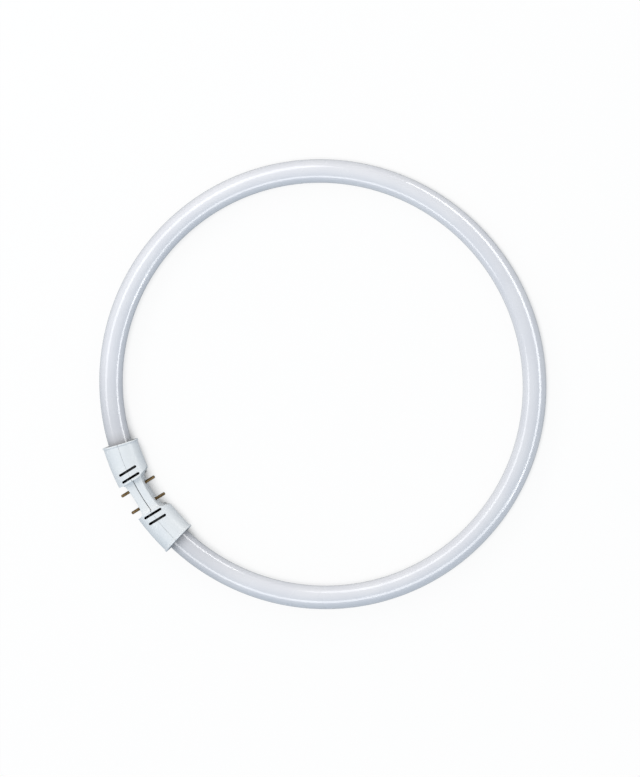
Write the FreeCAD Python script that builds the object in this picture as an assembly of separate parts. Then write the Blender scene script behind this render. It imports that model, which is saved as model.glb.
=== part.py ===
import FreeCAD, Part
import math
import os

# Circular fluorescent tube: a glass ring whose two closed ends sit in one moulded cap.
# The ring lies flat, +Z up, with the middle of the cap on the -Y side.
# Lengths "along" run round the ring's centreline from the middle of the cap, positive towards +X.
# Lengths "inwards" run from the centreline towards the ring's axis.
# Millimetres.

os.makedirs("parts", exist_ok=True)
Vector = FreeCAD.Vector
ORIGIN = Vector(0, 0, 0)
UP = Vector(0, 0, 1)

# Glass ring
ring_radius = 141.5
tube_diameter = 15.5
tube_end_gap = 1.0
tube_end_rounding = 2.5
exhaust_tip_diameter = 3.2
exhaust_tip_length = 2.2

# Sleeves of the cap, bent with the ring
sleeve_diameter = 23.3
sleeve_wall = 1.6
cap_reach = 37.5
mouth_rim_length = 1.1
mouth_rim_height = 0.55
mouth_rim_rounding = 0.3
mouth_recess = 2.5

# Webs in the sleeves that carry the glass, with a pocket of cement between them
web_thickness = 1.5
web_clearance = 0.15
cement_length = 5.8

# Waist between the sleeves, gripped by the lamp holder
waist_width = 10.6
waist_height = 15.2
waist_flank_radius = 60.0
waist_edge_rounding = 1.0
waist_wall = 1.5
waist_side_wall = 1.5
shoulder_top = 11.6
shoulder_wall = 1.4
inner_shoulder_end = 17.6
inner_root_radius = 4.0
inner_corner_radius = 4.5
inner_corner_rise = 0.3
outer_shoulder = 12.0
outer_root_radius = 2.5
outer_corner_radius = 0.5
chamber_end_wall = 2.9

# Cooling slots across the sleeves, beside the waist
slot_places = (13.9, 18.85)
slot_length = 13.5
slot_width = 1.7
slot_side_clearance = 0.45

# Parting seam of the two moulded halves
waist_seam_width = 0.5
waist_seam_depth = 0.7
sleeve_seam_width = 0.2
sleeve_seam_depth = 0.3

# Contact pins, two to each side of the waist
pin_pitch = 13.0
pin_diameter = 2.0
pin_reach = 13.1
pin_tip_rounding = 0.7
pin_shank_diameter = 2.6
pin_shank_proud = 0.3
pin_flange_diameter = 3.8
pin_flange_thickness = 0.8
pin_hole_clearance = 0.03

# Leads from the glass seals to the pins
lead_diameter = 0.7
lead_spread = 3.4
lead_spacing = 2.0
lead_bend_radius = 1.8
lead_seal_depth = 0.8
lead_seat_depth = 2.5
lead_seat_clearance = 0.05
lead_seat_end_gap = 0.1

# Sizes that follow from the driving ones
tube_radius = tube_diameter / 2
sleeve_radius = sleeve_diameter / 2
bore_diameter = sleeve_diameter - 2 * sleeve_wall
mouth_web_end = cap_reach - mouth_recess
mouth_web_start = mouth_web_end - web_thickness
inner_web_end = mouth_web_start - cement_length
inner_web_start = inner_web_end - web_thickness
passage_half_width = waist_width / 2 - waist_side_wall
passage_half_height = waist_height / 2 - waist_wall
chamber_start = inner_shoulder_end - inner_corner_radius + chamber_end_wall
tube_end_setback = chamber_start + tube_end_gap
throat_start = shoulder_top + shoulder_wall
throat_half_width = slot_length / 2 + slot_side_clearance
clear_height = sleeve_diameter
clear_width = sleeve_diameter
past_face = 1.0


def on_ring(along, inwards=0.0, height=0.0):
    """Point at a length along the ring, moved inwards and up from its centreline."""
    turn = along / ring_radius
    reach = ring_radius - inwards
    return Vector(reach * math.sin(turn), -reach * math.cos(turn), height)


def ring_direction(along):
    """Direction of the centreline at a length along the ring."""
    turn = along / ring_radius
    return Vector(math.cos(turn), math.sin(turn), 0)


def on_cap(along, inwards, height=0.0):
    """Point in the straight axes of the cap, with its middle on the centreline."""
    return Vector(along, inwards - ring_radius, height)


def centreline_bow(along):
    """How far the centreline has curved inwards at a straight distance from the middle of the cap."""
    return ring_radius - math.sqrt(ring_radius**2 - along**2)


def flank_half_width(along):
    """Half the width of the waist at a straight distance from the middle of the cap."""
    return waist_width / 2 + waist_flank_radius - math.sqrt(waist_flank_radius**2 - along**2)


def bent_rod(diameter, start, end):
    """Round bar that follows the ring between two lengths along it."""
    section = Part.makeCircle(diameter / 2, on_ring(start), ring_direction(start))
    turn = math.degrees((end - start) / ring_radius)
    return Part.Face(Part.Wire(section)).revolve(ORIGIN, UP, turn)


def cap_box(along_low, along_high, inwards_low, inwards_high, low, high):
    """Block in the straight axes of the cap."""
    corner = on_cap(along_low, inwards_low, low)
    return Part.makeBox(along_high - along_low, inwards_high - inwards_low, high - low, corner)


def arc_round(centre, start, end):
    """Arc of less than half a turn from start to end about a centre."""
    middle = (start - centre) + (end - centre)
    middle.normalize()
    return Part.Arc(start, centre + middle * (start - centre).Length, end).toShape()


def seam_band(width, low, high):
    """Thin upright band on the centreline, where the two halves of the cap meet."""
    outside = Part.makeCylinder(ring_radius + width / 2, high - low, Vector(0, 0, low))
    inside = Part.makeCylinder(ring_radius - width / 2, high - low, Vector(0, 0, low))
    return outside.cut(inside)


def both_ends(shape):
    """The shape and its mirror image at the other end of the cap."""
    return [shape, shape.mirror(ORIGIN, Vector(1, 0, 0))]


def both_faces(shape):
    """The shape and its mirror image on the other face of the ring."""
    return [shape, shape.mirror(ORIGIN, UP)]


# Glass tube
def exhaust_tip(end):
    """Sealed stub of the tube through which the lamp was pumped, on one closed end."""
    base = on_ring(end * tube_end_setback)
    outwards = ring_direction(end * tube_end_setback) * -end
    radius = exhaust_tip_diameter / 2
    stub = Part.makeCylinder(radius, exhaust_tip_length, base, outwards)
    return stub.fuse(Part.makeSphere(radius, base + outwards * exhaust_tip_length))


def glass_tube():
    whole_turn = 2 * math.pi * ring_radius
    tube = bent_rod(tube_diameter, tube_end_setback, whole_turn - tube_end_setback)
    end_edges = [edge for edge in tube.Edges if abs(edge.BoundBox.ZLength - tube_diameter) < tube_end_rounding
                 and edge.BoundBox.XLength < tube_diameter]
    tube = tube.makeFillet(tube_end_rounding, end_edges)
    return tube.fuse([exhaust_tip(-1), exhaust_tip(1)]).removeSplitter()


# Moulded cap
def square_shoulder(end):
    """Edges of an outer shoulder, from the flank to outside the sleeve: root, wall and sharp corner."""
    flank_level = waist_width / 2 + waist_flank_radius
    root_along = outer_shoulder - outer_root_radius
    root_drop = math.sqrt((waist_flank_radius - outer_root_radius)**2 - root_along**2)
    root_level = flank_level - root_drop
    tangent_share = waist_flank_radius / (waist_flank_radius - outer_root_radius)
    corner_along = outer_shoulder + outer_corner_radius
    corner_level = sleeve_radius - centreline_bow(corner_along) - outer_corner_radius

    def at(along, level):
        return on_cap(end * along, -level, -clear_height)

    tangent = at(root_along * tangent_share, flank_level - root_drop * tangent_share)
    root_end = at(outer_shoulder, root_level)
    wall_end = at(outer_shoulder, corner_level)
    corner_end = at(corner_along, corner_level + outer_corner_radius)
    return tangent, [
        arc_round(at(root_along, root_level), tangent, root_end),
        Part.makeLine(root_end, wall_end),
        arc_round(at(corner_along, corner_level), wall_end, corner_end),
        Part.makeLine(corner_end, at(corner_along, clear_width)),
    ], at(corner_along, clear_width)


def swept_shoulder(end):
    """Edges of an inner shoulder, from the flank to outside the sleeve: root and wide corner in one sweep."""
    flank_centre = Vector(0, waist_width / 2 + waist_flank_radius, 0)
    sleeve_level = sleeve_radius + centreline_bow(inner_shoulder_end)
    corner_level = sleeve_level + inner_corner_rise - inner_corner_radius
    corner_centre = Vector(inner_shoulder_end, corner_level, 0)
    to_root = waist_flank_radius - inner_root_radius
    between = inner_root_radius + inner_corner_radius
    span = corner_centre - flank_centre
    share = (to_root**2 - between**2 + span.Length**2) / (2 * span.Length)
    aside = span.cross(UP).normalize() * math.sqrt(to_root**2 - share**2)
    root_centre = flank_centre + Vector(span).normalize() * share + aside

    def at(point):
        return on_cap(end * point.x, point.y, -clear_height)

    tangent = flank_centre + (root_centre - flank_centre) * (waist_flank_radius / to_root)
    turn = root_centre + (corner_centre - root_centre) * (inner_root_radius / between)
    corner_end = corner_centre + Vector(0, inner_corner_radius, 0)
    outside = Vector(inner_shoulder_end, clear_width, 0)
    return at(tangent), [
        arc_round(at(root_centre), at(tangent), at(turn)),
        arc_round(at(corner_centre), at(turn), at(corner_end)),
        Part.makeLine(at(corner_end), at(outside)),
    ], at(outside)


def flank_cutter(side, shoulder):
    """Space beside the waist: a hollow flank that runs out to the shoulder of each sleeve."""
    left_tangent, left_edges, left_outside = shoulder(-1)
    right_tangent, right_edges, right_outside = shoulder(1)
    middle = on_cap(0, side * waist_width / 2, -clear_height)
    flank = Part.Arc(left_tangent, middle, right_tangent).toShape()
    outside = Part.makeLine(left_outside, right_outside)
    outline = Part.Wire(Part.__sortEdges__(left_edges + right_edges + [flank, outside]))
    return Part.Face(outline).extrude(Vector(0, 0, 2 * clear_height))


def cap_outside():
    """Outer form of the cap: a bent sleeve with rims at its mouths, cut down to a waist in the middle."""
    body = bent_rod(sleeve_diameter, -cap_reach, cap_reach)
    rim_diameter = sleeve_diameter + 2 * mouth_rim_height
    rim = bent_rod(rim_diameter, cap_reach - mouth_rim_length, cap_reach)
    rim_edges = [edge for edge in rim.Edges if edge.BoundBox.ZLength > sleeve_diameter
                 and edge.BoundBox.XLength < sleeve_radius]
    rim = rim.makeFillet(mouth_rim_rounding, rim_edges)
    body = body.fuse(both_ends(rim))
    above = cap_box(-shoulder_top, shoulder_top, -clear_width, clear_width, waist_height / 2, clear_height)
    body = body.cut(both_faces(above))
    body = body.cut([flank_cutter(1, swept_shoulder), flank_cutter(-1, square_shoulder)])
    flank_edges = [edge for edge in body.Edges if edge.BoundBox.ZLength < waist_edge_rounding
                   and isinstance(edge.Curve, Part.Circle)
                   and abs(abs(edge.CenterOfMass.z) - waist_height / 2) < waist_edge_rounding]
    return body.makeFillet(waist_edge_rounding, flank_edges)


def cap_hollow():
    """Spaces inside the cap: mouth recesses, cement pockets, end chambers and the lead passage."""
    recess = bent_rod(bore_diameter, mouth_web_end, cap_reach + past_face)
    pocket = bent_rod(bore_diameter, inner_web_end, mouth_web_start)
    hole = bent_rod(tube_diameter + 2 * web_clearance, inner_web_start - past_face, mouth_web_end + past_face)
    bore = bent_rod(bore_diameter, 0, inner_web_start)
    chamber_block = cap_box(chamber_start, cap_reach, -clear_width, clear_width, -clear_height, clear_height)
    throat_block = cap_box(throat_start, chamber_start + past_face, -throat_half_width, throat_half_width,
                           -clear_height, clear_height)
    passage = cap_box(-throat_start - past_face, throat_start + past_face, -passage_half_width,
                      passage_half_width, -passage_half_height, passage_half_height)
    spaces = [passage]
    for space in (recess, pocket, hole, bore.common(chamber_block), bore.common(throat_block)):
        spaces += both_ends(space)
    return spaces


def slot_cutter(along):
    """Slot with round ends, right through both faces of a sleeve."""
    straight_half = (slot_length - slot_width) / 2
    half_width = slot_width / 2
    centre = on_cap(along, centreline_bow(along), -clear_height)
    near, far = Vector(0, -straight_half, 0), Vector(0, straight_half, 0)
    left, right = Vector(-half_width, 0, 0), Vector(half_width, 0, 0)
    tip = Vector(0, half_width, 0)
    outline = Part.Wire([
        Part.makeLine(centre + near + right, centre + far + right),
        Part.Arc(centre + far + right, centre + far + tip, centre + far + left).toShape(),
        Part.makeLine(centre + far + left, centre + near + left),
        Part.Arc(centre + near + left, centre + near - tip, centre + near + right).toShape(),
    ])
    return Part.Face(outline).extrude(Vector(0, 0, 2 * clear_height))


def pin_holes():
    """Holes for the pins, through both walls of the waist."""
    radius = pin_shank_diameter / 2 + pin_hole_clearance
    hole = Part.makeCylinder(radius, 2 * clear_width, on_cap(pin_pitch / 2, -clear_width), Vector(0, 1, 0))
    return both_ends(hole)


def seam_grooves():
    """Open line between the halves: wide on the waist, fine on the crest of the sleeves."""
    waist_top = waist_height / 2
    waist_line = seam_band(waist_seam_width, waist_top - waist_seam_depth, waist_top + past_face)
    waist_block = cap_box(-shoulder_top, shoulder_top, -clear_width, clear_width, 0, clear_height)
    crest_line = seam_band(sleeve_seam_width, sleeve_radius - sleeve_seam_depth, clear_height)
    cap_block = cap_box(-cap_reach, cap_reach, -clear_width, clear_width, 0, clear_height)
    return both_faces(waist_line.common(waist_block)) + both_faces(crest_line.common(cap_block))


def cap_halves():
    """The two mouldings of the cap, parted along the ring's centreline."""
    cap = cap_outside().cut(cap_hollow())
    slots = []
    for along in slot_places:
        slots += both_ends(slot_cutter(along))
    cap = cap.cut(slots + pin_holes() + seam_grooves())
    inner_side = Part.makeCylinder(ring_radius, 2 * clear_height, Vector(0, 0, -clear_height))
    return cap.common(inner_side), cap.cut(inner_side)


# Pieces held in the cap
def cement_ring(end):
    """Cement that fills the pocket between the webs and bonds the glass to the cap."""
    filling = bent_rod(bore_diameter, inner_web_end, mouth_web_start)
    ring = filling.cut(bent_rod(tube_diameter, inner_web_end, mouth_web_start))
    return both_ends(ring)[0 if end > 0 else 1]


def contact_pin(side, end):
    """Turned pin: round tip, shank through the wall, flange behind it and a blind seat for the lead."""
    axis_along = end * pin_pitch / 2
    flange_level = passage_half_width - pin_flange_thickness
    shank_level = flank_half_width(pin_pitch / 2 + pin_shank_diameter / 2) + pin_shank_proud

    def at(radius, level):
        return on_cap(axis_along + radius, side * level)

    shaft = pin_diameter / 2
    shank = pin_shank_diameter / 2
    flange = pin_flange_diameter / 2
    round_centre = at(shaft - pin_tip_rounding, pin_reach - pin_tip_rounding)
    outline = Part.Wire([
        Part.makeLine(at(0, flange_level), at(flange, flange_level)),
        Part.makeLine(at(flange, flange_level), at(flange, passage_half_width)),
        Part.makeLine(at(flange, passage_half_width), at(shank, passage_half_width)),
        Part.makeLine(at(shank, passage_half_width), at(shank, shank_level)),
        Part.makeLine(at(shank, shank_level), at(shaft, shank_level)),
        Part.makeLine(at(shaft, shank_level), at(shaft, pin_reach - pin_tip_rounding)),
        arc_round(round_centre, at(shaft, pin_reach - pin_tip_rounding),
                  at(shaft - pin_tip_rounding, pin_reach)),
        Part.makeLine(at(shaft - pin_tip_rounding, pin_reach), at(0, pin_reach)),
        Part.makeLine(at(0, pin_reach), at(0, flange_level)),
    ])
    turned = Part.Face(outline).revolve(at(0, 0), Vector(0, 1, 0), 360)
    seat_radius = lead_diameter / 2 + lead_seat_clearance
    seat_depth = lead_seat_depth + lead_seat_end_gap
    seat = Part.makeCylinder(seat_radius, seat_depth, at(0, flange_level), Vector(0, side, 0))
    return turned.cut(seat)


def lead_wire(side, end):
    """Lead from a seal in the glass into the seat of a pin: two straight runs joined by an arc."""
    start = on_ring(end * (tube_end_setback + lead_seal_depth), side * lead_spread)
    corner = on_cap(end * pin_pitch / 2, side * lead_spacing / 2)
    flange_level = passage_half_width - pin_flange_thickness
    finish = on_cap(end * pin_pitch / 2, side * (flange_level + lead_seat_depth))
    run_in = (start - corner).normalize()
    run_out = (finish - corner).normalize()
    half_turn = run_in.getAngle(run_out) / 2
    room_before_flange = flange_level - lead_spacing / 2
    bend_radius = min(lead_bend_radius, room_before_flange * math.tan(half_turn))
    bend_start = corner + run_in * (bend_radius / math.tan(half_turn))
    bend_end = corner + run_out * (bend_radius / math.tan(half_turn))
    bend_centre = corner + (run_in + run_out).normalize() * (bend_radius / math.sin(half_turn))
    route = Part.Wire([
        Part.makeLine(start, bend_start),
        arc_round(bend_centre, bend_start, bend_end),
        Part.makeLine(bend_end, finish),
    ])
    section = Part.Wire(Part.makeCircle(lead_diameter / 2, start, run_in))
    return route.makePipe(Part.Face(section))


# All pieces, by the names they are filed under
inner_half, outer_half = cap_halves()
pieces = {"cap_inner_half": inner_half, "cap_outer_half": outer_half}
leads = []
for end_name, end in (("left", -1), ("right", 1)):
    pieces["cement_ring_" + end_name] = cement_ring(end)
    for side_name, side in (("inner", 1), ("outer", -1)):
        lead = lead_wire(side, end)
        leads.append(lead)
        pieces["lead_" + side_name + "_" + end_name] = lead
        pieces["pin_" + side_name + "_" + end_name] = contact_pin(side, end)
pieces["glass_tube"] = glass_tube().cut(leads)

# The origin lies on the surface under the lamp, below the middle of its outline.
cap_side_reach = ring_radius + pin_reach
far_side_reach = ring_radius + tube_radius
lowest = sleeve_radius + mouth_rim_height
seat = Vector(0, (cap_side_reach - far_side_reach) / 2, lowest)
for name, shape in pieces.items():
    placed = shape.translated(seat)
    placed.exportStep("parts/" + name + ".step")
    print(name, len(placed.Solids), placed.isValid(), round(placed.Volume, 3))
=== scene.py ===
import math

import bpy
from mathutils import Matrix, Vector


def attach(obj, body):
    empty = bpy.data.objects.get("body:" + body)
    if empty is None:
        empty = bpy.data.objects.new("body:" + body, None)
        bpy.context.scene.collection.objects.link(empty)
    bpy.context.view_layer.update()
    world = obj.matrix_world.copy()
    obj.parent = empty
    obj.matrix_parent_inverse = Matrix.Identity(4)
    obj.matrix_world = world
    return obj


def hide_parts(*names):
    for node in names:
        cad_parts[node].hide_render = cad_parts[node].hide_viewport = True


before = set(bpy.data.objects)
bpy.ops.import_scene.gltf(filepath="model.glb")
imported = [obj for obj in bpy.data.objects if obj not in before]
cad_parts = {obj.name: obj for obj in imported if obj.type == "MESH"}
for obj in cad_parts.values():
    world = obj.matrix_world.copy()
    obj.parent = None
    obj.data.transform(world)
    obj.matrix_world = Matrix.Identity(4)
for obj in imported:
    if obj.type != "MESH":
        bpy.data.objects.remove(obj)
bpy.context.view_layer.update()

MM = 0.001

# The lamp as it lies: ring in the XY plane, cap on the -Y side
ring_radius = 141.5 * MM
ring_centre = Vector((0.0, 2.675 * MM, 12.2 * MM))
cap_middle = ring_centre - Vector((0.0, ring_radius, 0.0))

# Bent glass tube
tube_radius = 7.75 * MM
tube_end_setback = 17.0 * MM
tube_end_rounding = 2.5 * MM
tube_end_segments = 6
tube_ring_steps = 300
tube_section_points = 64
tube_smooth_degrees = 50
exhaust_tip_radius = 1.6 * MM
exhaust_tip_reach = 3.8 * MM
exhaust_tip_rounding = 0.9 * exhaust_tip_radius
exhaust_tip_segments = 5

# Contact pins, measured from the middle of the cap
pin_pitch = 13.0 * MM
pin_points = 40
pin_flange_radius = 1.9 * MM
pin_flange_start = 3.0 * MM
pin_flange_end = 3.8 * MM
pin_shank_radius = 1.3 * MM
pin_shank_end = 6.109 * MM
pin_radius = 1.0 * MM
pin_reach = 13.1 * MM
pin_tip_rounding = 0.7 * MM
pin_tip_segments = 6
pin_seat_radius = 0.4 * MM
pin_seat_depth = 2.6 * MM
pin_edge_break = 0.06 * MM
pin_edge_degrees = 60
pin_edge_segments = 2
pin_smooth_degrees = 40

# Moulded cap
sleeve_radius = 11.65 * MM
flank_radius = 60.0 * MM
flank_axis_reach = 65.3 * MM
curve_tolerance = 0.04 * MM
curve_facing = 0.9
cap_smooth_degrees = 30

# Merging of doubled points
piece_merge_distance = 0.0005 * MM
cap_merge_distance = 0.002 * MM

# Tones and edges of the finishes, in millimetres from the middle of the cap, along the ring
# End blackening and uncoated ends of the glass, with painted shade where it enters the sleeves: near
# black under the cap, grey just outside it.
tube_end_blackening_and_shade = ((0.0, 0.06), (33.0, 0.12), (37.5, 0.45), (41.0, 0.68), (46.0, 0.83), (95.0, 1.0))
tone_length = 100.0
glass_smear_edge = (26.0, 33.0)
glass_smear_roughness = 0.6
cap_webs_edge = (30.0, 33.0)

# The same, across the cap: from its middle plane, or from the ring's centreline
waist_end_edge = (11.6, 13.1)
throat_start_edge = (12.4, 12.9)
chamber_start_edge = (15.3, 15.9)
throat_side_edge = (7.3, 7.6)
bore_wall_edge = (10.15, 10.95)
waist_seam_edge = (0.2, 0.3)
# Painted shade: the inside of the cap is coloured near black where it lies in shade.
cap_inside_painted_shade = (0.05, 0.055, 0.06)
waist_seam_colour = (0.26, 0.265, 0.27)
patch_edge = (0.35, 0.65)

# The photograph's view: nearly straight down, the cap at the lower left
image_width = 640
image_height = 777
pixels_per_metre = 1513.0
ring_centre_pixel = (322.3, 384.5)
cap_image_angle = math.radians(148.36)
view_tilt = math.radians(10.0)
camera_distance = 10.0
camera_clip_end = 100.0
sensor_height = 36.0

# Floor: the lamp rests on the cap's rims and on the far side of the glass
floor_size = 12.0
far_side_gap = 4.45 * MM
rim_line_y = -133.9 * MM
far_side_y = 144.175 * MM
floor_pale = (0.9, 0.9, 0.9)
floor_bounce = (0.43, 0.45, 0.47)
floor_shadow = (0.40, 0.40, 0.40)
floor_camera_white = 0.93

# Shadow where the lamp meets the floor, by how much of the sky the floor sees there
contact_shadow_reach = 30.0 * MM
contact_shadow_samples = 32
contact_shadow_edge = (0.25, 0.60)

# Deep shadow right under the sleeves, which shows through their slots, in millimetres
sleeve_shadow = (0.05, 0.05, 0.05)
sleeve_shadow_start = (11.0, 12.5)
sleeve_shadow_end = (34.0, 38.0)
sleeve_shadow_side = (6.5, 8.5)

# White that the floor shows in gloss, from the left of the photograph to its right
gloss_floor_reach = (-0.16, 0.16)
gloss_floor_white = (0.20, 0.70)
gloss_shadow_edge = (0.5, 0.95)

# Studio light
fill_far_tint = (0.52, 0.76, 1.0)
fill_near_tint = (1.0, 0.995, 0.97)
world_camera_white = 1.0
world_gloss_white = 0.8
strip_distance = 1.0
strip_power = 4.0


# Modelling by hand
def select_only(piece):
    bpy.ops.object.select_all(action="DESELECT")
    piece.select_set(True)
    bpy.context.view_layer.objects.active = piece


def begin_piece(name):
    """Takes the primitive just added as a piece and opens it for editing."""
    piece = bpy.context.object
    piece.name = name
    piece.data.name = name
    select_only(piece)
    bpy.ops.object.mode_set(mode="EDIT")
    return piece


def pick_faces(piece, test):
    """Selects the faces of the open piece that pass a test on centre, normal and corner count."""
    bpy.ops.mesh.select_mode(type="FACE")
    bpy.ops.mesh.select_all(action="DESELECT")
    bpy.ops.object.mode_set(mode="OBJECT")
    place = piece.matrix_world
    turn = place.to_3x3()
    for face in piece.data.polygons:
        face.select = test(place @ face.center, turn @ face.normal, len(face.vertices))
    bpy.ops.object.mode_set(mode="EDIT")


def extrude_by(step):
    bpy.ops.mesh.extrude_region_move(TRANSFORM_OT_translate={"value": step})


def smooth_between(degrees):
    """Smooths the selected piece, with hard edges where its faces turn by more than this."""
    bpy.ops.object.shade_smooth_by_angle(angle=math.radians(degrees))


def finish_piece(piece, smooth_degrees):
    """Closes the piece, puts its place into its mesh and smooths it between its hard edges."""
    bpy.ops.object.mode_set(mode="EDIT")
    bpy.ops.mesh.select_all(action="SELECT")
    bpy.ops.mesh.remove_doubles(threshold=piece_merge_distance)
    bpy.ops.mesh.normals_make_consistent(inside=False)
    bpy.ops.object.mode_set(mode="OBJECT")
    select_only(piece)
    bpy.ops.object.transform_apply(location=True, rotation=True, scale=True)
    smooth_between(smooth_degrees)


def break_edges(piece, width, angle_degrees, segments):
    """Rounds the hard edges of a piece a little, so that they catch the light."""
    select_only(piece)
    bevel = piece.modifiers.new("edge_break", "BEVEL")
    bevel.width = width
    bevel.segments = segments
    bevel.limit_method = "ANGLE"
    bevel.angle_limit = math.radians(angle_degrees)
    bevel.use_clamp_overlap = False
    bpy.ops.object.modifier_apply(modifier=bevel.name)


def keep_flats_flat(piece):
    """Lets the large faces set the shading at soft edges, so that flat faces look flat."""
    select_only(piece)
    weighting = piece.modifiers.new("flat_faces", "WEIGHTED_NORMAL")
    weighting.mode = "FACE_AREA"
    weighting.weight = 100
    weighting.keep_sharp = True
    bpy.ops.object.modifier_apply(modifier=weighting.name)


def hand_over(piece, node, material):
    """Gives the piece its finish and lets it stand for its CAD node."""
    piece.data.materials.clear()
    piece.data.materials.append(material)
    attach(piece, "root")
    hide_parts(node)


# Glass tube
def model_glass_tube():
    """A circle spun round the ring, closed at both ends, with a sealed tip on each."""
    start = tube_end_setback / ring_radius
    along = Vector((math.cos(start), math.sin(start), 0.0))
    out = Vector((math.sin(start), -math.cos(start), 0.0))
    bpy.ops.object.select_all(action="DESELECT")
    bpy.ops.mesh.primitive_circle_add(
        vertices=tube_section_points, radius=tube_radius, fill_type="NOTHING",
        location=ring_centre + out * ring_radius, rotation=(0.0, math.pi / 2, start))
    tube = begin_piece("bent_glass_tube")
    bpy.ops.mesh.select_all(action="SELECT")
    bpy.ops.mesh.spin(steps=tube_ring_steps, angle=2 * math.pi - 2 * start,
                      center=ring_centre, axis=(0.0, 0.0, -1.0))
    bpy.ops.mesh.select_mode(type="EDGE")
    bpy.ops.mesh.select_all(action="DESELECT")
    bpy.ops.mesh.select_non_manifold(
        extend=False, use_wire=False, use_boundary=True,
        use_multi_face=False, use_non_contiguous=False, use_verts=False)
    bpy.ops.mesh.fill_holes(sides=0)
    bpy.ops.mesh.select_all(action="SELECT")
    bpy.ops.mesh.normals_make_consistent(inside=False)
    pick_faces(tube, lambda centre, normal, corners: corners > 4)
    bpy.ops.mesh.bevel(offset=tube_end_rounding, segments=tube_end_segments, affect="EDGES")
    for side in (1, -1):
        tip_direction = Vector((-side * along.x, -along.y, 0.0))
        pick_faces(tube, lambda centre, normal, corners: corners > 4 and centre.x * side > 0)
        bpy.ops.mesh.inset(thickness=tube_radius - tube_end_rounding - exhaust_tip_radius)
        extrude_by(tip_direction * exhaust_tip_reach)
        bpy.ops.mesh.bevel(offset=exhaust_tip_rounding, segments=exhaust_tip_segments, affect="EDGES")
    finish_piece(tube, tube_smooth_degrees)
    return tube


# Contact pins
def model_contact_pin():
    """The inner pin on the right: flange, shank, shaft and round tip, with a seat for its lead."""
    flange_middle = (pin_flange_start + pin_flange_end) / 2
    bpy.ops.object.select_all(action="DESELECT")
    bpy.ops.mesh.primitive_cylinder_add(
        vertices=pin_points, radius=pin_flange_radius, depth=pin_flange_end - pin_flange_start,
        location=cap_middle + Vector((pin_pitch / 2, flange_middle, 0.0)),
        rotation=(-math.pi / 2, 0.0, 0.0))
    pin = begin_piece("contact_pin_inner_right")
    outwards = Vector((0.0, 1.0, 0.0))

    def outer_end(centre, normal, corners):
        return corners > 4 and normal.y > 0.9

    def inner_end(centre, normal, corners):
        return corners > 4 and normal.y < -0.9

    pick_faces(pin, outer_end)
    bpy.ops.mesh.inset(thickness=pin_flange_radius - pin_shank_radius)
    extrude_by(outwards * (pin_shank_end - pin_flange_end))
    bpy.ops.mesh.inset(thickness=pin_shank_radius - pin_radius)
    extrude_by(outwards * (pin_reach - pin_shank_end))
    bpy.ops.mesh.bevel(offset=pin_tip_rounding, segments=pin_tip_segments, affect="EDGES")
    pick_faces(pin, inner_end)
    bpy.ops.mesh.inset(thickness=pin_flange_radius - pin_seat_radius)
    extrude_by(outwards * pin_seat_depth)
    finish_piece(pin, pin_smooth_degrees)
    break_edges(pin, pin_edge_break, pin_edge_degrees, pin_edge_segments)
    smooth_between(pin_smooth_degrees)
    return pin


def copy_pin(pin, name, turned, step):
    """A copy with its own mesh, turned half round the cap or moved along it."""
    select_only(pin)
    bpy.ops.object.duplicate(linked=False)
    copied = bpy.context.object
    copied.name = name
    copied.data.name = name
    if turned:
        bpy.ops.transform.rotate(value=math.pi, orient_axis="Z", center_override=cap_middle)
    bpy.ops.transform.translate(value=step)
    bpy.ops.object.transform_apply(location=True, rotation=True, scale=True)
    return copied


# Moulded cap
def from_centreline(point):
    """How a point lies from the nearest point of the ring's centreline."""
    level = Vector((point.x - ring_centre.x, point.y - ring_centre.y, 0.0))
    return point - ring_centre - level.normalized() * ring_radius


def from_flank_axis(point):
    """How a point lies from the upright axis of the hollow flank on its side, out of the plastic."""
    side = 1.0 if point.y > cap_middle.y else -1.0
    return Vector((-point.x, cap_middle.y + side * flank_axis_reach - point.y, 0.0))


def true_shading(piece):
    """Shades the bent sleeves and the hollow flanks by their true curves, whatever their facets."""
    mesh = piece.data
    shading = [corner.vector.copy() for corner in mesh.corner_normals]
    for curve, radius in ((from_centreline, sleeve_radius), (from_flank_axis, flank_radius)):
        for face in mesh.polygons:
            out = curve(face.center)
            off_curve = abs(out.length - radius) > curve_tolerance
            if off_curve or face.normal.dot(out.normalized()) < curve_facing:
                continue
            for corner in face.loop_indices:
                point = mesh.vertices[mesh.loops[corner].vertex_index].co
                shading[corner] = curve(point).normalized()
    mesh.normals_split_custom_set(shading)


def model_cap_half(node, name):
    """One moulding of the cap in its CAD form, merged and shaded by its true curves."""
    half = bpy.data.objects.new(name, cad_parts[node].data.copy())
    half.data.name = name
    bpy.context.scene.collection.objects.link(half)
    select_only(half)
    bpy.ops.object.mode_set(mode="EDIT")
    bpy.ops.mesh.select_all(action="SELECT")
    bpy.ops.mesh.remove_doubles(threshold=cap_merge_distance)
    bpy.ops.object.mode_set(mode="OBJECT")
    smooth_between(cap_smooth_degrees)
    keep_flats_flat(half)
    true_shading(half)
    return half


# Nodes that the finishes share
def add_socket(group, name, direction, kind, value=None):
    socket = group.interface.new_socket(name, in_out=direction, socket_type=kind)
    if value is not None:
        socket.default_value = value


def maths(tree, operation, first, second=None, clamp=False):
    """A Math node; inputs are sockets or numbers."""
    node = tree.nodes.new("ShaderNodeMath")
    node.operation = operation
    node.use_clamp = clamp
    for slot, value in enumerate((first, second)):
        if value is None:
            continue
        if isinstance(value, (int, float)):
            node.inputs[slot].default_value = value
        else:
            tree.links.new(value, node.inputs[slot])
    return node.outputs[0]


def hypotenuse(tree, first, second):
    """Length of two distances at right angles."""
    squares = [maths(tree, "MULTIPLY", side, side) for side in (first, second)]
    return maths(tree, "SQRT", maths(tree, "ADD", *squares))


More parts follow.
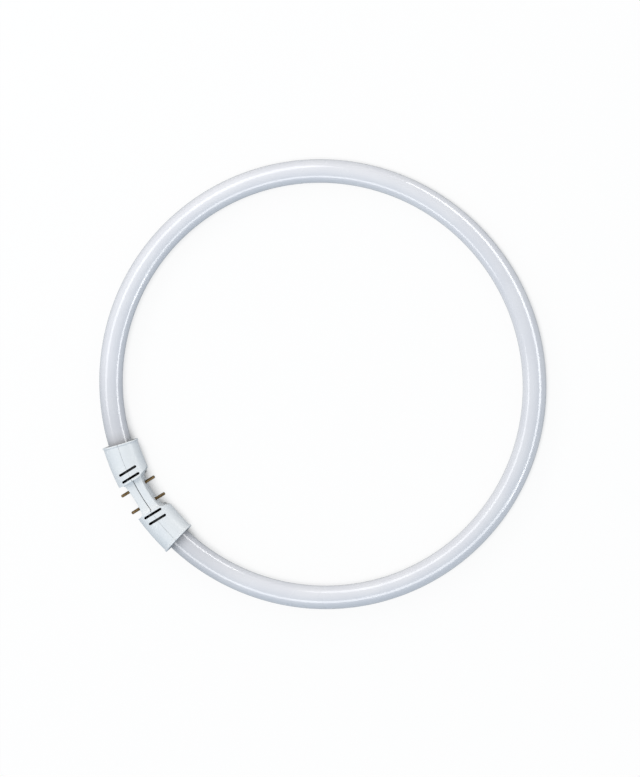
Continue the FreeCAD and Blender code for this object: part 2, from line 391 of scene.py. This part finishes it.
def ramp_between(tree, value, low, high, low_result, high_result, smooth=True):
    """A Map Range node from one span to another."""
    node = tree.nodes.new("ShaderNodeMapRange")
    node.interpolation_type = "SMOOTHSTEP" if smooth else "LINEAR"
    tree.links.new(value, node.inputs["Value"])
    node.inputs["From Min"].default_value = low
    node.inputs["From Max"].default_value = high
    node.inputs["To Min"].default_value = low_result
    node.inputs["To Max"].default_value = high_result
    return node.outputs["Result"]


def mask_past(tree, value, edge):
    """One past an edge and zero before it, with the soft step that the edge gives."""
    return ramp_between(tree, value, *edge, 0.0, 1.0)


def mask_within(tree, value, edge):
    """One before an edge and zero past it, with the soft step that the edge gives."""
    return ramp_between(tree, value, *edge, 1.0, 0.0)


def mix_colours(tree, factor, first, second, blend="MIX"):
    """A colour Mix node; inputs are sockets, or colours as triples."""
    node = tree.nodes.new("ShaderNodeMix")
    node.data_type = "RGBA"
    node.blend_type = blend
    for slot, value in ((0, factor), (6, first), (7, second)):
        if isinstance(value, (int, float)):
            node.inputs[slot].default_value = value
        elif isinstance(value, tuple):
            node.inputs[slot].default_value = (*value, 1.0)
        else:
            tree.links.new(value, node.inputs[slot])
    return node.outputs[2]


def build_mottle_group():
    """Shared effect: a soft uneven tone and a fine grain, on the piece's own coordinates."""
    group = bpy.data.node_groups.new("surface_mottle", "ShaderNodeTree")
    add_socket(group, "Base Colour", "INPUT", "NodeSocketColor", (0.8, 0.8, 0.8, 1.0))
    add_socket(group, "Patch Colour", "INPUT", "NodeSocketColor", (0.7, 0.7, 0.7, 1.0))
    add_socket(group, "Patch Scale", "INPUT", "NodeSocketFloat", 60.0)
    add_socket(group, "Grain Scale", "INPUT", "NodeSocketFloat", 2000.0)
    add_socket(group, "Colour", "OUTPUT", "NodeSocketColor")
    add_socket(group, "Patches", "OUTPUT", "NodeSocketFloat")
    add_socket(group, "Grain", "OUTPUT", "NodeSocketFloat")
    inside = group.nodes.new("NodeGroupInput")
    outside = group.nodes.new("NodeGroupOutput")
    place = group.nodes.new("ShaderNodeTexCoord")
    patch_noise = group.nodes.new("ShaderNodeTexNoise")
    patch_noise.inputs["Detail"].default_value = 3.0
    grain_noise = group.nodes.new("ShaderNodeTexNoise")
    grain_noise.inputs["Detail"].default_value = 2.0
    for noise, scale in ((patch_noise, "Patch Scale"), (grain_noise, "Grain Scale")):
        group.links.new(place.outputs["Object"], noise.inputs["Vector"])
        group.links.new(inside.outputs[scale], noise.inputs["Scale"])
    patches = mask_past(group, patch_noise.outputs["Fac"], patch_edge)
    colour = mix_colours(group, patches, inside.outputs["Base Colour"], inside.outputs["Patch Colour"])
    group.links.new(colour, outside.inputs["Colour"])
    group.links.new(patches, outside.inputs["Patches"])
    group.links.new(grain_noise.outputs["Fac"], outside.inputs["Grain"])
    return group


def begin_finish(name, base_colour, patch_colour, patch_scale, grain_scale):
    """A material with its shader and its own copy of the shared mottle."""
    material = bpy.data.materials.new(name)
    material.use_nodes = True
    tree = material.node_tree
    shader = tree.nodes["Principled BSDF"]
    mottle = tree.nodes.new("ShaderNodeGroup")
    mottle.node_tree = mottle_group
    mottle.inputs["Base Colour"].default_value = (*base_colour, 1.0)
    mottle.inputs["Patch Colour"].default_value = (*patch_colour, 1.0)
    mottle.inputs["Patch Scale"].default_value = patch_scale
    mottle.inputs["Grain Scale"].default_value = grain_scale
    return material, tree, shader, mottle


def patchy_roughness(tree, mottle, smoothest, roughest):
    """Roughness that follows the patches of the mottle."""
    return ramp_between(tree, mottle.outputs["Patches"], 0.0, 1.0, smoothest, roughest)


def grain_relief(tree, shader, mottle, depth):
    """Fine relief of a given depth, from the grain of the mottle."""
    bump = tree.nodes.new("ShaderNodeBump")
    bump.inputs["Strength"].default_value = 1.0
    bump.inputs["Distance"].default_value = depth
    tree.links.new(mottle.outputs["Grain"], bump.inputs["Height"])
    tree.links.new(bump.outputs["Normal"], shader.inputs["Normal"])


def lamp_axes(tree, place=None):
    """Distances of a point from the lamp's ring centre, in millimetres; a piece's own unless given."""
    if place is None:
        place = tree.nodes.new("ShaderNodeTexCoord").outputs["Object"]
    centred = tree.nodes.new("ShaderNodeMapping")
    centred.vector_type = "POINT"
    centred.inputs["Location"].default_value = -ring_centre / MM
    centred.inputs["Scale"].default_value = (1 / MM, 1 / MM, 1 / MM)
    tree.links.new(place, centred.inputs["Vector"])
    split = tree.nodes.new("ShaderNodeSeparateXYZ")
    tree.links.new(centred.outputs["Vector"], split.inputs["Vector"])
    return split.outputs["X"], split.outputs["Y"], split.outputs["Z"]


def length_from_cap(tree, x, y):
    """Millimetres along the ring from the middle of the cap."""
    back = maths(tree, "MULTIPLY", y, -1.0)
    turn = maths(tree, "ARCTAN2", x, back)
    return maths(tree, "MULTIPLY", maths(tree, "ABSOLUTE", turn), ring_radius / MM)


# Finishes
def coated_glass_finish():
    """White coating seen through clear glass: sharp gloss, faint drift of tone, and grey towards the
    ends from end blackening and uncoated ends plus painted shade where the glass enters the sleeves.
    """
    material, tree, shader, mottle = begin_finish(
        "coated_glass", base_colour=(0.769, 0.757, 0.784), patch_colour=(0.739, 0.729, 0.764),
        patch_scale=45.0, grain_scale=55.0)
    x, y, _ = lamp_axes(tree)
    along = length_from_cap(tree, x, y)
    # Darker towards the cap: end blackening plus painted shade at the sleeves' mouths.
    end_blackening_and_shade = tree.nodes.new("ShaderNodeValToRGB")
    ramp = end_blackening_and_shade.color_ramp
    while len(ramp.elements) < len(tube_end_blackening_and_shade):
        ramp.elements.new(1.0)
    for element, (length, tone) in zip(ramp.elements, tube_end_blackening_and_shade):
        element.position = length / tone_length
        element.color = (tone, tone, tone, 1.0)
    tree.links.new(maths(tree, "DIVIDE", along, tone_length, clamp=True), end_blackening_and_shade.inputs["Fac"])
    colour = mix_colours(tree, 1.0, mottle.outputs["Colour"], end_blackening_and_shade.outputs["Color"], "MULTIPLY")
    tree.links.new(colour, shader.inputs["Base Color"])
    clean = mask_past(tree, along, glass_smear_edge)
    smeared = maths(tree, "MULTIPLY", maths(tree, "SUBTRACT", 1.0, clean), glass_smear_roughness)
    roughness = maths(tree, "MAXIMUM", patchy_roughness(tree, mottle, 0.24, 0.30), smeared)
    tree.links.new(roughness, shader.inputs["Roughness"])
    tree.links.new(clean, shader.inputs["Coat Weight"])
    grain_relief(tree, shader, mottle, 0.02 * MM)
    shader.inputs["IOR"].default_value = 1.5
    shader.inputs["Coat Roughness"].default_value = 0.06
    shader.inputs["Coat IOR"].default_value = 1.65
    return material


def inside_cap_shade_mask(tree, x, y, from_centreline_mm):
    """Mask of the throats and chambers inside the cap, up to the webs that hold the glass, where shade
    is painted.
    """
    from_middle = maths(tree, "ABSOLUTE", x)
    inwards = maths(tree, "ABSOLUTE", maths(tree, "ADD", y, ring_radius / MM))
    in_throat = maths(tree, "MULTIPLY", mask_past(tree, from_middle, throat_start_edge),
                      mask_within(tree, inwards, throat_side_edge))
    in_chamber = mask_past(tree, from_middle, chamber_start_edge)
    within_bore = mask_within(tree, from_centreline_mm, bore_wall_edge)
    before_webs = mask_within(tree, length_from_cap(tree, x, y), cap_webs_edge)
    return maths(tree, "MULTIPLY", maths(tree, "MULTIPLY", within_bore, before_webs),
                 maths(tree, "MAXIMUM", in_throat, in_chamber))


def cap_plastic_finish():
    """Cool white moulded plastic with a fine grain, painted shade that makes it near black inside, and
    grey in the waist's seam.
    """
    material, tree, shader, mottle = begin_finish(
        "cap_plastic", base_colour=(0.815, 0.822, 0.826), patch_colour=(0.790, 0.800, 0.810),
        patch_scale=120.0, grain_scale=2600.0)
    x, y, z = lamp_axes(tree)
    aside = maths(tree, "SUBTRACT", hypotenuse(tree, x, y), ring_radius / MM)
    # Painted shade inside the cap: its throats and chambers are coloured near black.
    inside = inside_cap_shade_mask(tree, x, y, hypotenuse(tree, aside, z))
    colour = mix_colours(tree, inside, mottle.outputs["Colour"], cap_inside_painted_shade)
    on_seam = mask_within(tree, maths(tree, "ABSOLUTE", aside), waist_seam_edge)
    beyond_waist = mask_past(tree, maths(tree, "ABSOLUTE", x), waist_end_edge)
    in_waist_seam = maths(tree, "SUBTRACT", on_seam, beyond_waist, clamp=True)
    colour = mix_colours(tree, in_waist_seam, colour, waist_seam_colour)
    tree.links.new(colour, shader.inputs["Base Color"])
    tree.links.new(patchy_roughness(tree, mottle, 0.38, 0.48), shader.inputs["Roughness"])
    grain_relief(tree, shader, mottle, 0.015 * MM)
    return material


def pin_brass_finish():
    """Brass pins, brown with handling and dulled in patches."""
    material, tree, shader, mottle = begin_finish(
        "pin_brass", base_colour=(0.150, 0.102, 0.050), patch_colour=(0.102, 0.068, 0.033),
        patch_scale=700.0, grain_scale=4000.0)
    tree.links.new(mottle.outputs["Colour"], shader.inputs["Base Color"])
    tree.links.new(patchy_roughness(tree, mottle, 0.28, 0.45), shader.inputs["Roughness"])
    grain_relief(tree, shader, mottle, 0.006 * MM)
    shader.inputs["Metallic"].default_value = 1.0
    return material


def lead_wire_finish():
    """Drawn wire, grey and slightly tarnished."""
    material, tree, shader, mottle = begin_finish(
        "lead_wire", base_colour=(0.16, 0.15, 0.14), patch_colour=(0.10, 0.09, 0.085),
        patch_scale=700.0, grain_scale=5000.0)
    tree.links.new(mottle.outputs["Colour"], shader.inputs["Base Color"])
    tree.links.new(patchy_roughness(tree, mottle, 0.30, 0.50), shader.inputs["Roughness"])
    grain_relief(tree, shader, mottle, 0.004 * MM)
    shader.inputs["Metallic"].default_value = 1.0
    return material


def cement_finish():
    """Baked cement, dry and gritty."""
    material, tree, shader, mottle = begin_finish(
        "cement", base_colour=(0.58, 0.53, 0.45), patch_colour=(0.47, 0.42, 0.35),
        patch_scale=500.0, grain_scale=3000.0)
    tree.links.new(mottle.outputs["Colour"], shader.inputs["Base Color"])
    tree.links.new(patchy_roughness(tree, mottle, 0.85, 0.97), shader.inputs["Roughness"])
    grain_relief(tree, shader, mottle, 0.06 * MM)
    return material


def refinish_node(name, material):
    """Gives a CAD node that stays in the scene its finish."""
    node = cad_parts[name]
    node.data.materials.clear()
    node.data.materials.append(material)


# Studio
def image_axes():
    """Right, up and towards-the-viewer directions of the photograph, in the row frame."""
    towards = Vector((0.0, math.sin(view_tilt), math.cos(view_tilt)))
    across = Vector((1.0, 0.0, 0.0))
    away_from_cap = towards.cross(across)
    cap_right, cap_down = math.cos(cap_image_angle), math.sin(cap_image_angle)
    right = across * cap_down - away_from_cap * cap_right
    up = across * cap_right + away_from_cap * cap_down
    return right, up, towards


def image_direction(image_angle, elevation):
    """A direction by its degrees round the photograph, from its right, and above the ring's plane."""
    right, up, towards = image_axes()
    turn, rise = math.radians(image_angle), math.radians(elevation)
    level = right * math.cos(turn) + up * math.sin(turn)
    return level, level * math.cos(rise) + towards * math.sin(rise)


def add_camera():
    """The photograph's camera, far off with a long lens."""
    right, up, towards = image_axes()
    data = bpy.data.cameras.new("photo_camera")
    data.sensor_fit = "VERTICAL"
    data.sensor_height = sensor_height
    data.lens = pixels_per_metre * sensor_height / image_height * camera_distance
    data.clip_end = camera_clip_end
    camera = bpy.data.objects.new("photo_camera", data)
    bpy.context.scene.collection.objects.link(camera)
    offset_right = (ring_centre_pixel[0] - image_width / 2) / pixels_per_metre
    offset_up = (image_height / 2 - ring_centre_pixel[1]) / pixels_per_metre
    place = ring_centre + towards * camera_distance - right * offset_right - up * offset_up
    turn = Matrix((right, up, towards)).transposed().to_4x4()
    camera.matrix_world = Matrix.Translation(place) @ turn
    bpy.context.scene.camera = camera


def strip_light(name, image_angle, elevation, width, length, radiance, lights_surfaces=True):
    """A long flat lamp facing the ring; its reflection is a line along the glass."""
    level, direction = image_direction(image_angle, elevation)
    data = bpy.data.lights.new(name, "AREA")
    data.shape = "RECTANGLE"
    data.size = length
    data.size_y = width
    data.energy = strip_power * radiance * width * length
    light = bpy.data.objects.new(name, data)
    light.visible_diffuse = lights_surfaces
    bpy.context.scene.collection.objects.link(light)
    along = image_axes()[2].cross(level).normalized()
    turned = Matrix((along, direction.cross(along), direction)).transposed().to_4x4()
    light.matrix_world = Matrix.Translation(ring_centre + direction * strip_distance) @ turned


def along_direction(tree, place, direction):
    """How far a place lies along a direction."""
    node = tree.nodes.new("ShaderNodeVectorMath")
    node.operation = "DOT_PRODUCT"
    node.inputs[1].default_value = direction
    tree.links.new(place, node.inputs[0])
    return node.outputs["Value"]


def seen_white(tree, camera_share, glossy_share):
    """Share of white that a stage surface shows to the camera, to gloss and through glass."""
    path = tree.nodes.new("ShaderNodeLightPath")
    to_camera = maths(tree, "MULTIPLY", path.outputs["Is Camera Ray"], camera_share)
    to_gloss = maths(tree, "MULTIPLY", path.outputs["Is Glossy Ray"], glossy_share)
    through = maths(tree, "MULTIPLY", path.outputs["Is Transmission Ray"], camera_share)
    return maths(tree, "MAXIMUM", maths(tree, "MAXIMUM", to_camera, to_gloss), through)


def under_sleeves(tree, place):
    """Mask of the strip of floor right under the cap's two sleeves."""
    x, y, _ = lamp_axes(tree, place)
    aside = maths(tree, "SUBTRACT", hypotenuse(tree, x, y), ring_radius / MM)
    past_waist = mask_past(tree, maths(tree, "ABSOLUTE", x), sleeve_shadow_start)
    before_mouth = mask_within(tree, length_from_cap(tree, x, y), sleeve_shadow_end)
    below = mask_within(tree, maths(tree, "ABSOLUTE", aside), sleeve_shadow_side)
    return maths(tree, "MULTIPLY", past_waist, maths(tree, "MULTIPLY", before_mouth, below))


def floor_finish():
    """Pale matt floor, near white to the camera, that darkens where the lamp meets it."""
    material = bpy.data.materials.new("floor_white")
    material.use_nodes = True
    tree = material.node_tree
    tree.nodes.clear()
    result = tree.nodes.new("ShaderNodeOutputMaterial")
    mix = tree.nodes.new("ShaderNodeMixShader")
    matt = tree.nodes.new("ShaderNodeBsdfDiffuse")
    glow = tree.nodes.new("ShaderNodeEmission")
    contact = tree.nodes.new("ShaderNodeAmbientOcclusion")
    contact.samples = contact_shadow_samples
    contact.inputs["Distance"].default_value = contact_shadow_reach
    place = tree.nodes.new("ShaderNodeNewGeometry").outputs["Position"]
    below_sleeves = under_sleeves(tree, place)
    open_floor = maths(tree, "MULTIPLY", mask_past(tree, contact.outputs["AO"], contact_shadow_edge),
                       maths(tree, "SUBTRACT", 1.0, below_sleeves))
    across = along_direction(tree, place, image_axes()[0])
    gloss_white = maths(
        tree, "MULTIPLY",
        ramp_between(tree, across, *gloss_floor_reach, *gloss_floor_white, smooth=False),
        mask_past(tree, contact.outputs["AO"], gloss_shadow_edge))
    share = maths(tree, "MULTIPLY", seen_white(tree, floor_camera_white, gloss_white), open_floor)
    path = tree.nodes.new("ShaderNodeLightPath")
    pale = mix_colours(tree, path.outputs["Is Camera Ray"], floor_bounce, floor_pale)
    shadow = mix_colours(tree, below_sleeves, floor_shadow, sleeve_shadow)
    tree.links.new(mix_colours(tree, open_floor, shadow, pale), matt.inputs["Color"])
    tree.links.new(share, mix.inputs[0])
    tree.links.new(matt.outputs[0], mix.inputs[1])
    tree.links.new(glow.outputs[0], mix.inputs[2])
    tree.links.new(mix.outputs[0], result.inputs["Surface"])
    return material


def add_floor():
    """Floor turned so that it touches the cap's rims and the far side of the glass."""
    slope = math.atan2(far_side_gap, far_side_y - rim_line_y)
    bpy.ops.object.select_all(action="DESELECT")
    bpy.ops.mesh.primitive_plane_add(
        size=floor_size, location=(0.0, rim_line_y, 0.0), rotation=(slope, 0.0, 0.0))
    floor = bpy.context.object
    floor.name = "floor"
    floor.data.materials.append(floor_finish())


def add_world(level, contrast, image_angle, elevation):
    """Soft fill, brighter and warmer from one side, that is white to the camera and in gloss."""
    world = bpy.data.worlds.new("studio")
    world.use_nodes = True
    tree = world.node_tree
    background = tree.nodes["Background"]
    place = tree.nodes.new("ShaderNodeTexCoord")
    _, bright_side = image_direction(image_angle, elevation)
    facing = along_direction(tree, place.outputs["Generated"], bright_side)
    fill = maths(tree, "ADD", maths(tree, "MULTIPLY", facing, contrast), level)
    nearness = ramp_between(tree, facing, -1.0, 1.0, 0.0, 1.0, smooth=False)
    tint = mix_colours(tree, nearness, fill_far_tint, fill_near_tint)
    white = seen_white(tree, world_camera_white, world_gloss_white)
    tree.links.new(mix_colours(tree, white, tint, (1.0, 1.0, 1.0)), background.inputs["Color"])
    tree.links.new(maths(tree, "MAXIMUM", white, fill), background.inputs["Strength"])
    bpy.context.scene.world = world


mottle_group = build_mottle_group()
glass = coated_glass_finish()
plastic = cap_plastic_finish()
brass = pin_brass_finish()
wire = lead_wire_finish()
cement = cement_finish()

hand_over(model_glass_tube(), "glass_tube", glass)

one_pitch = Vector((pin_pitch, 0.0, 0.0))
inner_right = model_contact_pin()
inner_left = copy_pin(inner_right, "contact_pin_inner_left", False, -one_pitch)
outer_left = copy_pin(inner_right, "contact_pin_outer_left", True, Vector((0.0, 0.0, 0.0)))
outer_right = copy_pin(outer_left, "contact_pin_outer_right", False, one_pitch)
hand_over(inner_right, "pin_inner_right", brass)
hand_over(inner_left, "pin_inner_left", brass)
hand_over(outer_left, "pin_outer_left", brass)
hand_over(outer_right, "pin_outer_right", brass)

cap_inner = model_cap_half("cap_inner_half", "moulded_cap_inner")
cap_outer = model_cap_half("cap_outer_half", "moulded_cap_outer")
hand_over(cap_inner, "cap_inner_half", plastic)
hand_over(cap_outer, "cap_outer_half", plastic)

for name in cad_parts:
    if name.startswith("lead_"):
        refinish_node(name, wire)
    if name.startswith("cement_ring_"):
        refinish_node(name, cement)

add_camera()
add_floor()
add_world(level=0.795, contrast=0.22, image_angle=108, elevation=40)
strip_light("strip_right", image_angle=14, elevation=30, width=0.33, length=2.9, radiance=2.8,
            lights_surfaces=False)
strip_light("strip_bottom", image_angle=-92, elevation=36, width=0.33, length=2.4, radiance=1.9,
            lights_surfaces=False)
strip_light("strip_left", image_angle=150, elevation=41, width=0.36, length=1.6, radiance=1.45)
bpy.context.scene.view_settings.view_transform = "Standard"
